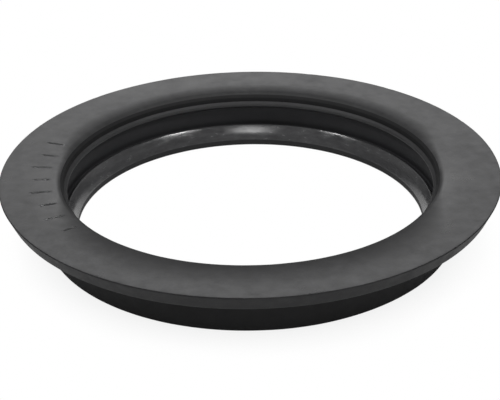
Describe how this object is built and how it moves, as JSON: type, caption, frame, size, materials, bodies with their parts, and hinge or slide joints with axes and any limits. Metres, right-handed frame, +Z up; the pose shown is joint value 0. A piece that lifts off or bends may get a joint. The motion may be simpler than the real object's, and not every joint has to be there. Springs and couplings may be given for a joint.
{
  "type": "manhole connector seal",
  "caption": "Moulded black rubber ring with a wide flat flange, rolled mouth and inner sealing lip, which seals a round pipe through a chamber wall.",
  "frame": {"origin": "centre of the foot face, on the ring's axis, where the ring rests", "axes": "+Z up along the ring's axis, from the body's foot towards the flange; the ring is the same all round"},
  "size_m": [0.15, 0.15, 0.0185],
  "materials": {
    "rubber": "satin moulded black rubber with a pale dusty bloom"
  },
  "bodies": {
    "root": {"seal_ring": "rubber"}
  },
  "joints": []
}
